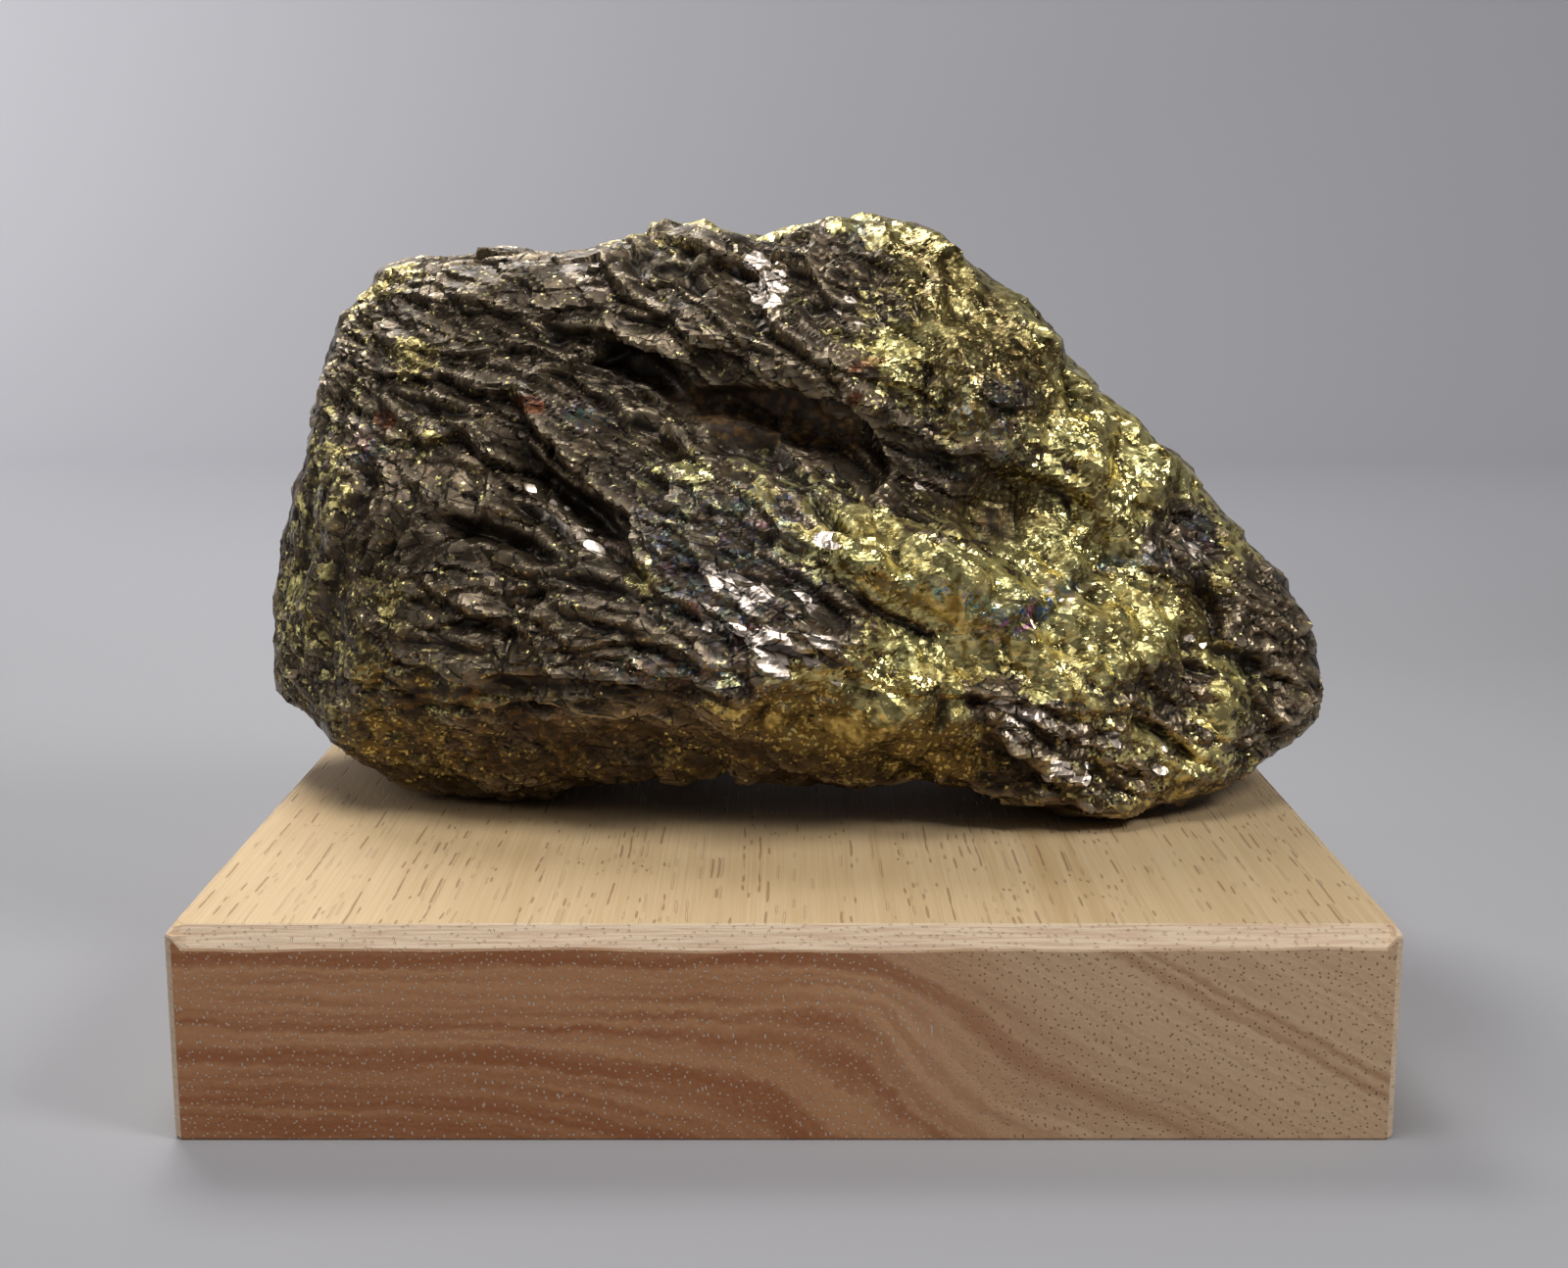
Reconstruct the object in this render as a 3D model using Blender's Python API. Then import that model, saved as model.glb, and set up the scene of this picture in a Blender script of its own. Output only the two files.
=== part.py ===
"""A massive pentlandite and chalcopyrite specimen resting on a square wooden display block.

Units are metres with +Z up. The origin is the middle of the block's underside, +X is the
long way of the specimen, and -Y is its front. Sizes below are real millimetres times MM.
"""

import math

import bmesh
import bpy
import numpy as np

MM = 0.001
COLLECTION_NAME = "pentlandite_specimen"

# Wooden block
BLOCK_WIDTH = 150 * MM
BLOCK_DEPTH = 150 * MM
BLOCK_HEIGHT = 27 * MM
END_GRAIN_CHAMFER = 2.6 * MM
LONG_GRAIN_CHAMFER = 1.0 * MM
CORNER_CHAMFER = 0.9 * MM

# Specimen: where it stands, and the point inside it that sees all of its surface
STANDING_GAP = 0.3 * MM
FOOT_LEVEL = BLOCK_HEIGHT + STANDING_GAP
HEART = np.array((0.0, 0.0, 68.0)) * MM
SPHERE_SUBDIVISIONS = 5
SPHERE_STRETCH = np.array((1.0, 0.62, 0.66))
EDGE_SHARPNESS = 20.0

# Outline of the specimen seen from the front, as (x, z) in millimetres, clockwise from its left end
OUTLINE_MM = (
    (-83.5, 47.0), (-82.0, 54.5), (-79.0, 64.0), (-75.0, 77.0), (-71.0, 88.5), (-68.5, 98.5),
    (-60.5, 105.5), (-47.0, 107.0), (-33.0, 105.5), (-24.0, 109.5), (-9.0, 111.0), (0.0, 110.5),
    (7.0, 113.0), (15.0, 111.8), (27.0, 105.5), (35.0, 98.8), (43.5, 90.5), (51.0, 82.0),
    (61.0, 75.5), (70.5, 63.5), (78.0, 54.5), (82.2, 48.5), (81.0, 39.0), (74.5, 35.0),
    (59.0, 30.0), (48.0, 25.5), (36.0, 29.0), (22.0, 34.0), (8.0, 32.5), (-8.0, 33.5),
    (-27.0, 32.0), (-44.0, 25.5), (-56.0, 29.5), (-72.0, 36.0), (-81.5, 38.5),
)

# Broken faces of the specimen: a point on each in millimetres, and the way that it faces
BROKEN_FACES = {
    "left_end": ((-71.0, -8.0, 74.0), (-0.80, -0.58, 0.12)),
    "main_front": ((-30.0, -23.0, 76.0), (-0.12, -0.83, 0.54)),
    "left_front": ((-45.0, -28.0, 66.0), (-0.25, -0.93, 0.26)),
    "belly": ((5.0, -44.0, 54.0), (0.03, -0.99, 0.12)),
    "right_front": ((34.0, -32.0, 73.0), (0.43, -0.72, 0.54)),
    "right_end": ((68.0, -24.0, 52.0), (0.62, -0.77, 0.12)),
    "foot_front": ((46.0, -36.0, 27.3), (0.35, -0.89, 0.30)),
    "front_underside": ((-45.0, -19.0, 26.0), (-0.13, -0.80, -0.58)),
    "top_back": ((0.0, 20.0, 109.0), (0.03, 0.50, 0.86)),
    "back": ((-8.0, 41.0, 72.0), (-0.10, 0.98, 0.16)),
    "back_right": ((50.0, 30.0, 66.0), (0.56, 0.78, 0.28)),
    "back_left": ((-62.0, 27.0, 72.0), (-0.66, 0.74, 0.10)),
    "back_underside": ((0.0, 27.0, 34.0), (0.06, 0.62, -0.78)),
}

# Swells (+) and hollows (-) of the front: middle (x, z), half length, half width, slope in degrees
# along the half length, and how far the surface moves out of the rock, all in millimetres
FRONT_RELIEF = {
    "brow_block": ((-10.0, 96.0), 24.0, 9.0, -14.0, 4.5),
    "overhung_hollow": ((0.0, 82.5), 27.0, 6.0, -22.0, -8.0),
    "hollow_right_end": ((33.0, 71.0), 12.0, 5.5, -12.0, -4.5),
    "hollow_left_end": ((-29.0, 95.5), 10.0, 3.5, -40.0, -3.5),
    "left_shoulder": ((-40.0, 84.0), 17.0, 12.0, -20.0, 2.5),
    "left_ledge": ((-29.0, 71.0), 14.0, 4.0, -26.0, -3.0),
    "middle_bulge": ((-8.0, 60.0), 20.0, 12.0, -10.0, 3.0),
    "golden_shelf": ((22.0, 63.5), 19.0, 5.0, -22.0, 4.5),
    "shelf_step": ((19.0, 55.0), 16.0, 4.0, -26.0, -2.5),
    "slope_swell": ((28.0, 94.0), 13.0, 6.0, -38.0, 3.0),
    "dark_pit": ((57.0, 70.0), 5.0, 4.5, 0.0, -4.5),
    "end_notch": ((61.5, 57.0), 7.5, 3.2, 80.0, -4.0),
    "right_knob": ((71.0, 56.0), 8.0, 9.0, 0.0, 2.5),
    "foot_brow": ((42.0, 48.0), 17.0, 5.0, -6.0, 3.0),
    "foot_face": ((46.0, 33.0), 10.0, 6.0, 0.0, 1.5),
    "underside_arch": ((22.0, 36.0), 14.0, 5.5, 8.0, -4.5),
    "left_underside": ((-24.0, 40.0), 26.0, 6.0, 3.0, -2.5),
    "crease_swell": ((-30.0, 50.5), 30.0, 4.0, -2.0, 2.0),
}

# Swells and hollows of the hidden back, in the same form
BACK_RELIEF = {
    "back_brow": ((-30.0, 88.0), 26.0, 10.0, 15.0, 3.5),
    "back_hollow": ((-14.0, 70.0), 30.0, 7.0, 18.0, -5.0),
    "back_ledge": ((30.0, 62.0), 24.0, 6.0, -24.0, 3.5),
    "back_scoop": ((46.0, 78.0), 12.0, 9.0, -30.0, -3.5),
    "back_toe": ((-30.0, 44.0), 22.0, 7.0, -8.0, 3.0),
    "back_arch": ((12.0, 42.0), 16.0, 8.0, 10.0, -4.0),
}


def clear_scene():
    """Remove every object that the start-up file brings."""
    for item in list(bpy.data.objects):
        bpy.data.objects.remove(item, do_unlink=True)


def make_collection(name):
    """Return a new collection that is linked to the scene."""
    collection = bpy.data.collections.new(name)
    bpy.context.scene.collection.children.link(collection)
    return collection


def make_material(name, colour, roughness, metallic):
    """Return a plain Principled material."""
    material = bpy.data.materials.new(name)
    material.use_nodes = True
    shader = material.node_tree.nodes["Principled BSDF"]
    shader.inputs["Base Color"].default_value = (*colour, 1.0)
    shader.inputs["Roughness"].default_value = roughness
    shader.inputs["Metallic"].default_value = metallic
    return material


def object_from_bmesh(shape, name, material, collection):
    """Turn a bmesh into a named object of the collection."""
    mesh = bpy.data.meshes.new(name)
    shape.to_mesh(mesh)
    shape.free()
    mesh.materials.append(material)
    item = bpy.data.objects.new(name, mesh)
    collection.objects.link(item)
    return item


def edges_where(shape, wanted):
    """List the edges whose middle point passes the test."""
    return [edge for edge in shape.edges if wanted((edge.verts[0].co + edge.verts[1].co) / 2)]


def chamfer(shape, wanted, width):
    """Cut a flat chamfer along the edges whose middle passes the test."""
    bmesh.ops.bevel(shape, geom=edges_where(shape, wanted), offset=width, segments=1, affect="EDGES")


def make_block(collection):
    """Build the square block: wide chamfers over the end grain, narrow ones along the grain."""
    half_width = BLOCK_WIDTH / 2
    half_depth = BLOCK_DEPTH / 2
    near = 1e-5
    shape = bmesh.new()
    bmesh.ops.create_cube(shape, size=1.0)
    bmesh.ops.scale(shape, vec=(BLOCK_WIDTH, BLOCK_DEPTH, BLOCK_HEIGHT), verts=shape.verts)
    bmesh.ops.translate(shape, vec=(0, 0, BLOCK_HEIGHT / 2), verts=shape.verts)

    def on_upright_corner(middle):
        return abs(middle.x) > half_width - near and abs(middle.y) > half_depth - near

    def on_top_end(middle):
        return middle.z > BLOCK_HEIGHT - near and abs(middle.y) > half_depth - near

    def on_top_side(middle):
        return middle.z > BLOCK_HEIGHT - near and abs(middle.x) > half_width - near

    chamfer(shape, on_top_end, END_GRAIN_CHAMFER)
    chamfer(shape, on_top_side, LONG_GRAIN_CHAMFER)
    chamfer(shape, on_upright_corner, CORNER_CHAMFER)
    bmesh.ops.remove_doubles(shape, verts=shape.verts, dist=near)
    material = make_material("block_wood", (0.66, 0.47, 0.29), 0.6, 0.0)
    return object_from_bmesh(shape, "wooden_block", material, collection)


def sphere_directions(shape):
    """Give each vertex's unit direction, spread so that the triangles come out alike."""
    directions = np.array([vert.co for vert in shape.verts]) * SPHERE_STRETCH
    return directions / np.linalg.norm(directions, axis=1, keepdims=True)


def outline_reach(directions):
    """Distance from the heart to the outline, carried straight through from front to back."""
    points = np.array(OUTLINE_MM) * MM - HEART[[0, 2]]
    angles = np.arctan2(points[:, 1], points[:, 0])
    radii = np.hypot(points[:, 0], points[:, 1])
    heading = np.arctan2(directions[:, 2], directions[:, 0])
    flat_reach = np.interp(heading, *sorted_pairs(angles, radii), period=2 * math.pi)
    return flat_reach / np.maximum(np.hypot(directions[:, 0], directions[:, 2]), 1e-6)


def sorted_pairs(angles, radii):
    """Sort both lists by angle."""
    order = np.argsort(angles)
    return angles[order], radii[order]


def face_reach(directions, point_mm, normal):
    """Distance from the heart to one broken face, very far where the face looks away."""
    normal = np.array(normal) / np.linalg.norm(normal)
    offset = np.dot(np.array(point_mm) * MM - HEART, normal)
    facing = directions @ normal
    return np.where(facing > 1e-3, offset / np.maximum(facing, 1e-3), 10.0)


def soft_minimum(reaches):
    """The smallest reach, with the edges between two faces rounded off."""
    total = sum(reach ** -EDGE_SHARPNESS for reach in reaches)
    return total ** (-1.0 / EDGE_SHARPNESS)


def relief_push(points, relief):
    """How far each point moves out of the rock, from the named swells and hollows."""
    push = np.zeros(len(points))
    for (middle_x, middle_z), half_length, half_width, slope, height in relief.values():
        angle = math.radians(slope)
        across_x = points[:, 0] / MM - middle_x
        across_z = points[:, 2] / MM - middle_z
        along = across_x * math.cos(angle) + across_z * math.sin(angle)
        aside = across_z * math.cos(angle) - across_x * math.sin(angle)
        push += height * MM * np.exp(-((along / half_length) ** 2 + (aside / half_width) ** 2))
    return push


def make_specimen(collection):
    """Build the rock: a sphere pushed out to its outline and broken faces, then its relief."""
    shape = bmesh.new()
    bmesh.ops.create_icosphere(shape, subdivisions=SPHERE_SUBDIVISIONS, radius=1.0)
    directions = sphere_directions(shape)
    reaches = [outline_reach(directions)]
    reaches += [face_reach(directions, *face) for face in BROKEN_FACES.values()]
    points = HEART + directions * soft_minimum(reaches)[:, None]
    front = np.clip(-directions[:, 1] * 2.5, 0, 1)
    back = np.clip(directions[:, 1] * 2.5, 0, 1)
    points[:, 1] -= front * relief_push(points, FRONT_RELIEF)
    points[:, 1] += back * relief_push(points, BACK_RELIEF)
    points[:, 2] = np.maximum(points[:, 2], FOOT_LEVEL)
    for vert, point in zip(shape.verts, points):
        vert.co = point
    material = make_material("sulfide_ore", (0.36, 0.29, 0.14), 0.42, 0.85)
    return object_from_bmesh(shape, "pentlandite_rock", material, collection)


def main():
    clear_scene()
    collection = make_collection(COLLECTION_NAME)
    make_block(collection)
    make_specimen(collection)


main()
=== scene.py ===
"""Looks of the pentlandite specimen and its wooden display block, in metres, +Z up."""
import itertools
import math
from functools import reduce
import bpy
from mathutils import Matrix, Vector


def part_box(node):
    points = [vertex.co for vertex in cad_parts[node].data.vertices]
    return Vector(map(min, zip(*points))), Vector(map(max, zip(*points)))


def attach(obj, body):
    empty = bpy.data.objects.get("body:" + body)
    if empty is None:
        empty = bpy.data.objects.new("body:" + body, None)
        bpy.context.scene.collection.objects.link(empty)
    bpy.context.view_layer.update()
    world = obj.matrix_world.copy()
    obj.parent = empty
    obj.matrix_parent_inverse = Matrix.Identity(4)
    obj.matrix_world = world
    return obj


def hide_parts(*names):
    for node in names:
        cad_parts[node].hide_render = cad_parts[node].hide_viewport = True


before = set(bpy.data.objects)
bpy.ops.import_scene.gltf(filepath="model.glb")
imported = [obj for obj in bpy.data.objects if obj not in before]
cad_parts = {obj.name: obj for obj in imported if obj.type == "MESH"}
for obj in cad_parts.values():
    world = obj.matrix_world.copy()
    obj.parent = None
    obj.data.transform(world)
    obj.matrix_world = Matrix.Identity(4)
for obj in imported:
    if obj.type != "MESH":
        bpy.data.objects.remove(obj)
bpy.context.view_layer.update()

from types import SimpleNamespace

import bmesh
import bpy
import numpy as np
from mathutils import Vector

MM = 0.001
BODY = "root"

# The photograph: its size in pixels, and its camera in the frame of the model
PHOTO_WIDTH = 1600
PHOTO_HEIGHT = 1294
LENS_MM = 48.0
SENSOR_MM = 36.0
CAMERA_PLACE = np.array((0.0, -316.0, 109.0)) * MM
CAMERA_PITCH = math.radians(10.72)

# The stone's mesh, and how much of its steps is evened out: everywhere, at ledges, at steep walls
COARSE_VOXEL = 1.13 * MM
FRONT_FACING = 0.16
WELD_GAP = 0.01 * MM
STAIR_SOFTENING = 0.13
LEDGE_SOFTENING = 0.5
WALL_SOFTENING = 0.38
WALL_RISE = (0.27 * MM, 0.6 * MM)
RELAX_ROUNDS = 2
SMOOTH_SHADED_WALL = 0.25
BLOCK_CLEARANCE = 0.15 * MM

# Noise over the stone: size and seed
LUMPS = (17 * MM, 67)
LUMP_HEIGHT = 1.3 * MM
CRUMB_PATCHES = (16 * MM, 73)
HIDDEN_GOLD = (42 * MM, 71)
HIDDEN_RUST = (24 * MM, 5)
HIDDEN_TARNISH = (20 * MM, 9)

# The ore's layering: which way it is stacked, and the long way of its plates
LAYER_NORMAL = np.array((0.4, -0.3, 0.86))
PLATE_LONG_WAY = np.array((0.9, 0.1, -0.4))

# Plates of the ore: sizes in millimetres along, across and through the layers, how far they lean,
# the height of their steps in millimetres, and seed
LARGE_PLATES = ((15.0, 9.0, 5.0), 0.42, 0.9, 11)
SMALL_PLATES = ((6.4, 4.0, 2.3), 0.34, 0.36, 23)
CRUMB_PLATES = ((4.6, 3.2, 2.4), 0.42, 0.5, 37)
PLATE_WARP_SIZE = 9 * MM
PLATE_WARP = 1.6 * MM
PLATE_TWIST = 0.24

# Broken facets: size and height in millimetres, and seed
ROUGH_FACETS = (9.0, 0.9, 41)
CRUMB_FACETS = (2.2, 0.5, 67)
# The same for the golden parts, and how much of them the rest of the stone has
GOLD_FACETS = (((8.0, 2.3, 48), 0.15), ((3.6, 1.15, 53), 0.2), ((1.7, 0.36, 62), 0.15))

# Ledges of the front: width in pixels of the drop under the sharp upper lip, its depth in
# millimetres, and a line of photograph pixels along the lip from left to right
LEDGES = (
    # Left of the hollow
    (9, 2.1, (598, 343), (638, 355), (675, 374), (708, 404)),
    (4, 1.7, (578, 364), (603, 371), (635, 384), (674, 409)), (6, 1.9, (638, 426), (672, 438), (701, 466)),
    (7, 2.6, (534, 452), (568, 487), (608, 517), (636, 545)),
    (6, 2.4, (446, 526), (488, 530), (528, 544), (572, 571)), (5, 1.8, (530, 515), (566, 530), (584, 550)),
    (4, 1.3, (620, 551), (640, 573), (662, 590)), (5, 1.4, (412, 404), (450, 415), (480, 423)),
    (8, 1.9, (553, 331), (580, 340), (604, 337)),
    # Belly and crease
    (5, 1.5, (560, 587), (605, 589), (648, 607)), (5, 1.5, (577, 626), (611, 636), (664, 648)),
    (5, 1.4, (402, 652), (451, 655), (498, 667)), (4, 1.1, (408, 719), (450, 721), (484, 712)),
    (5, 1.4, (490, 690), (535, 695), (578, 700)), (4, 1.5, (676, 693), (716, 703), (750, 722)),
    (5, 1.0, (384, 686), (408, 696)),
    # Hollow and shelf
    (10, 1.7, (700, 408), (748, 396), (778, 402), (810, 400), (842, 420)),
    (6, 1.8, (719, 442), (788, 454), (830, 491)), (4, 1.8, (826, 504), (844, 523), (872, 541)),
    (4, 2.0, (870, 599), (887, 615), (908, 628), (946, 644)), (4, 1.1, (743, 585), (772, 587), (797, 595)),
    (5, 0.9, (792, 552), (833, 562)), (3, 1.0, (684, 667), (714, 682)),
    # Top and brow
    (6, 1.6, (661, 271), (697, 273), (724, 292)), (6, 1.3, (638, 257), (667, 263)),
    (5, 1.3, (631, 321), (661, 327), (684, 321)), (6, 1.6, (802, 275), (827, 282)),
    (5, 1.2, (818, 310), (858, 315)), (4, 1.1, (757, 350), (791, 361)),
    # Right foot
    (5, 1.8, (1008, 750), (1030, 770), (1050, 784), (1070, 798)),
    (4, 1.5, (1034, 730), (1064, 747), (1082, 764)), (4, 1.4, (1113, 774), (1150, 804)),
    (4, 1.7, (1154, 729), (1184, 742), (1221, 774)),
    # Right end and right slope
    (4, 1.4, (1216, 671), (1244, 690)), (9, 2.2, (1236, 658), (1262, 666), (1294, 679)),
    (6, 1.0, (1060, 488), (1086, 500), (1100, 510)), (6, 1.3, (936, 458), (972, 470), (1000, 462)),
)

# Cracks and valleys of the front, alike on both sides, in the same form
CRACKS = (
    (3, 1.2, (511, 593), (518, 627), (514, 652), (509, 691)), (3, 1.0, (655, 619), (677, 642)),
    (4, 1.6, (1181, 545), (1189, 581)), (4, 1.3, (1208, 547), (1222, 576)),
    (7, 2.4, (1227, 588), (1237, 625), (1240, 659)),
    (9, 0.9, (1165, 566), (1124, 579), (1092, 601), (1070, 627), (1040, 633)),
    (4, 1.2, (933, 304), (939, 327)),
    (5, 1.1, (389, 343), (385, 400), (392, 432)), (8, 1.3, (379, 478), (372, 500), (364, 532)),
    (10, 1.2, (953, 700), (962, 724), (955, 750)), (9, 1.2, (352, 560), (338, 610), (332, 660)),
    (4, 1.1, (352, 400), (341, 465), (333, 520)), (5, 1.2, (322, 480), (312, 545), (309, 610)),
    (5, 1.1, (322, 640), (330, 700), (346, 738)),
)

# The depth in millimetres of a groove painted fully dark as shade, and how much lower a ledge's painted
# shade lies under its lip
FULLY_SHADED_GROOVE_DEPTH = 1.6
LEDGE_SHADE_SHIFT = 0.4

# Round hollows (-) and swells (+) of the front: middle, half length and half width in pixels, turn
# in degrees, height in millimetres
DENTS = (
    (1205, 527, 30, 13, 10, -3.6), (770, 426, 66, 22, 8, -1.6), (880, 448, 58, 26, 20, -1.6),
    (1003, 517, 36, 40, 0, -1.9), (372, 482, 12, 20, 0, -1.3), (1185, 566, 12, 20, 10, 1.2),
    (1215, 566, 14, 20, -10, 1), (585, 537, 40, 10, 27, 0.8), (1280, 620, 40, 40, 0, 1.2),
    (1020, 720, 34, 24, 0, 1), (640, 300, 60, 30, 5, 1.2), (850, 265, 60, 30, 10, 1.2),
    (470, 300, 70, 26, 5, 1), (345, 735, 26, 20, 20, 1.2), (415, 706, 34, 12, -10, -1.4),
    (470, 728, 30, 16, 0, 1.8), (540, 706, 34, 12, 4, -1.5), (610, 726, 34, 14, 4, 1.6),
    (690, 712, 30, 12, 8, -1.2), (420, 765, 40, 14, 25, -1.4), (545, 770, 50, 12, 0, 1.2),
    (650, 762, 40, 12, 4, -1.3),
)

# Soft spots of the front in the same form, with their strength
GOLD_SPOTS = (
    (985, 300, 75, 55, 42, 1), (1080, 400, 105, 62, 42, 1), (1165, 480, 95, 60, 40, 1),
    (960, 380, 80, 70, 20, 0.8), (1100, 540, 120, 60, 12, 1), (1250, 560, 50, 50, 50, 0.8),
    (950, 590, 130, 42, 22, 1.1), (1110, 640, 120, 60, 5, 1), (900, 710, 120, 70, 5, 1),
    (1180, 630, 60, 60, 0, 0.9), (830, 735, 80, 35, 12, 1), (1248, 738, 14, 22, -20, 1),
    (1130, 745, 60, 34, 30, 0.8), (1230, 690, 80, 60, 0, 0.8), (1150, 785, 110, 46, -2, 0.8),
    (930, 770, 110, 24, 8, 0.8), (1020, 680, 90, 40, 5, 1), (312, 560, 34, 160, 12, 0.42),
    (385, 285, 40, 22, -30, 0.7), (422, 365, 22, 22, 0, 0.6), (430, 445, 28, 20, 0, 0.45),
    (655, 590, 16, 20, 0, 0.7), (1060, 790, 26, 14, 30, 0.5), (1190, 790, 30, 18, -20, 0.45),
    (1280, 640, 18, 40, 10, 0.4), (705, 482, 28, 16, 10, 0.58), (690, 250, 26, 12, 0, 0.3),
    (930, 250, 50, 22, 30, 1), (840, 560, 40, 18, 10, 0.8), (360, 640, 50, 60, 20, 0.45),
    (430, 700, 90, 30, 15, 0.4), (800, 500, 70, 40, 10, 0.42), (860, 225, 40, 12, 0, 0.5),
    (735, 545, 90, 55, 10, 0.18), (400, 752, 90, 34, 24, 0.5), (560, 772, 150, 26, 3, 0.32),
    (700, 775, 90, 22, 3, 0.4),
)
GOLD_GAPS = (
    (1100, 775, 90, 46, 10, 0.5), (1296, 640, 46, 76, 0, 0.6), (1205, 552, 36, 38, 10, 1.1),
    (1018, 712, 32, 22, 0, 1), (1040, 405, 26, 18, 0, 0.7), (800, 640, 90, 40, 20, 0.6),
    (880, 440, 60, 34, 10, 0.8), (1200, 700, 34, 30, 30, 0.7),
)
TARNISH_SPOTS = (
    (735, 560, 100, 60, 10, 0.2), (790, 512, 56, 34, 10, 0.3), (1050, 627, 44, 14, -30, 1),
    (985, 612, 40, 9, 20, 0.9), (600, 425, 20, 14, 0, 0.38), (745, 625, 70, 28, 20, 0.28),
    (1150, 573, 40, 8, -10, 0.55), (1222, 545, 16, 26, 0, 0.25), (885, 232, 16, 18, 0, 0.5),
    (375, 455, 14, 18, 0, 0.35), (1000, 440, 40, 50, 0, 0.25), (720, 690, 80, 18, 10, 0.28),
)
RUST_SPOTS = (
    (610, 766, 210, 34, 2, 0.55), (480, 742, 120, 30, 6, 0.4), (370, 735, 80, 30, 28, 0.4),
    (455, 708, 70, 9, -3, 0.8), (830, 787, 70, 14, 5, 0.5), (780, 424, 100, 30, 8, 0.85),
    (890, 440, 70, 36, 15, 0.42), (1003, 520, 48, 46, 0, 0.55), (1095, 352, 44, 18, 45, 0.6),
    (945, 540, 40, 24, 20, 0.4), (470, 660, 120, 30, 5, 0.35), (955, 725, 22, 40, 0, 0.4),
)
BROWN_SPOTS = (
    (470, 620, 190, 110, 0, 0.62), (500, 380, 120, 100, 0, 0.62), (700, 330, 180, 60, 10, 0.35),
    (740, 550, 100, 60, 0, 0.5), (1005, 385, 75, 62, 20, 0.85), (900, 400, 60, 50, 20, 0.3),
    (990, 500, 90, 42, 15, 0.8), (1100, 460, 80, 80, 40, 0.35), (1225, 620, 22, 46, 0, 1),
    (955, 725, 16, 40, 0, 0.8), (860, 470, 60, 40, 20, 0.25), (1110, 590, 40, 14, -20, 0.6),
    (905, 545, 50, 16, 25, 0.4), (745, 768, 85, 22, 5, 0.85), (600, 700, 240, 14, 3, 0.6),
    (1110, 350, 30, 26, 45, 0.7), (310, 600, 34, 150, 10, 0.25), (390, 285, 50, 34, -30, 0.7),
    (970, 305, 90, 50, 42, 0.8), (985, 780, 60, 26, 20, 0.9), (1180, 700, 40, 14, 35, 0.5),
    (420, 755, 110, 40, 20, 0.55), (600, 772, 200, 30, 2, 0.75),
)
RED_SPOTS = (
    (540, 413, 17, 9, 12, 1), (393, 428, 11, 9, 20, 0.95), (872, 406, 9, 6, -20, 0.95),
    (884, 372, 26, 8, -20, 0.6), (1100, 350, 30, 12, 45, 0.45), (505, 480, 22, 14, 30, 0.3),
)
GLINT_SPOTS = (
    (780, 284, 22, 30, 0, 1), (781, 240, 5, 6, 0, 0.8), (762, 608, 40, 18, 40, 1),
    (790, 650, 62, 28, 35, 0.9), (815, 612, 16, 10, 0, 0.8), (733, 640, 10, 12, 60, 0.9),
    (592, 545, 44, 11, 27, 0.38), (560, 508, 28, 7, 28, 0.35), (870, 315, 26, 12, 20, 0.5),
    (845, 552, 14, 8, 0, 0.9), (1200, 568, 30, 18, 10, 0.4), (1045, 732, 30, 10, 20, 0.8),
    (1120, 775, 100, 50, 10, 0.28), (1220, 655, 10, 6, 20, 0.6), (945, 492, 14, 9, -20, 0.6),
)
# Where the plates lean out more
LEAN_SPOTS = (
    (1110, 775, 120, 60, 8, 0.5), (770, 640, 90, 46, 25, 0.7), (560, 520, 90, 50, 25, 0.5),
)
# Where the plates are broken into crumbs
CHUNKY_SPOTS = (
    (1130, 770, 130, 66, 8, 1), (1290, 640, 80, 100, 0, 1), (1205, 555, 46, 44, 0, 1),
    (770, 650, 120, 44, 20, 0.8), (600, 660, 110, 34, 8, 0.8), (860, 290, 90, 60, 20, 0.8),
    (350, 500, 60, 200, 8, 0.8), (740, 540, 90, 60, 10, 0.7), (450, 330, 90, 50, 10, 0.5),
    (500, 755, 200, 40, 4, 1),
)
# Where the plates dip less to the right, how much of the dip goes, and from where across the model
LEVEL_SPOTS = (
    (470, 640, 200, 100, 0, 1), (470, 310, 150, 70, 0, 0.55),
)
LEVEL_OUT = 0.3
LEVEL_EDGE_X = -15.0 * MM


def unit(vector):
    """The vector at length 1."""
    return np.asarray(vector, float) / np.linalg.norm(vector)


def smooth_step(low, high, value):
    """0 below low, 1 above high, smooth between."""
    share = np.clip((value - low) / (high - low), 0.0, 1.0)
    return share * share * (3.0 - 2.0 * share)


def make_camera():
    """Stand the camera where the photograph's was."""
    data = bpy.data.cameras.new("photo_camera")
    data.lens = LENS_MM
    data.sensor_width = SENSOR_MM
    data.clip_start = 0.01
    camera = new_item("photo_camera", data)
    camera.location = CAMERA_PLACE
    camera.rotation_euler = (math.pi / 2 - CAMERA_PITCH, 0.0, 0.0)
    bpy.context.scene.camera = camera


def photo_pixels(points):
    """Each point's pixel in the photograph, across and down."""
    focal = LENS_MM / SENSOR_MM * PHOTO_WIDTH
    ahead = np.array((0.0, math.cos(CAMERA_PITCH), -math.sin(CAMERA_PITCH)))
    above = np.array((0.0, math.sin(CAMERA_PITCH), math.cos(CAMERA_PITCH)))
    seen = points - CAMERA_PLACE
    depth = seen @ ahead
    across = PHOTO_WIDTH / 2 + focal * seen[:, 0] / depth
    down = PHOTO_HEIGHT / 2 - focal * (seen @ above) / depth
    return np.stack((across, down), axis=1)


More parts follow.
